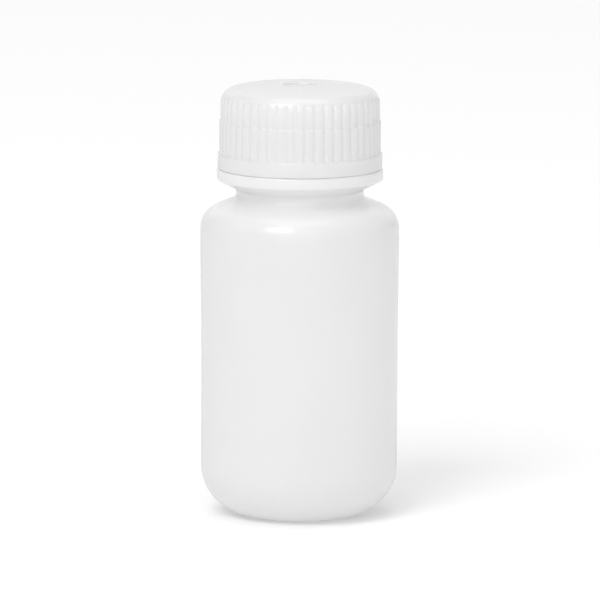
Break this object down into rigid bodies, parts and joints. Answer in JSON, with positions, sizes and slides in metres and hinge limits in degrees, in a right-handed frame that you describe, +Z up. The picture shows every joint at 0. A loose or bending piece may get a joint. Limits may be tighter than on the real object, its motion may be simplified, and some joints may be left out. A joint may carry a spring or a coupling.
{
  "type": "reagent bottle",
  "caption": "Small translucent plastic wide-mouth round bottle with a ribbed screw closure and a disc seal.",
  "frame": {"origin": "on the bottle's axis, in the plane its foot rests on", "axes": "+Z up along the bottle's axis, from the foot to the closure; X and Y are across the body"},
  "size_m": [0.039, 0.039, 0.0855],
  "materials": {
    "bottle_plastic": "translucent natural polyethylene, soft satin gloss",
    "liner_foam": "white foamed polyethylene disc",
    "closure_plastic": "translucent natural polypropylene, moulded, soft satin gloss"
  },
  "bodies": {
    "bottle": {"bottle": "bottle_plastic"},
    "liner": {"sealing_liner": "liner_foam"},
    "closure": {"screw_cap": "closure_plastic"}
  },
  "joints": [
    {"name": "closure_lift", "type": "slide", "parent": "bottle", "child": "liner", "axis": [0, 0, 1], "range_m": [0, 0.01693]},
    {"name": "closure_turn", "type": "hinge", "parent": "liner", "child": "closure", "pos_m": [0, 0, 0.082], "axis": [0, 0, 1], "range_deg": [0, 1440]}
  ],
  "couplings": [
    {"joint": "closure_turn", "follows": "closure_lift", "rad_per_m": 1484.2}
  ]
}
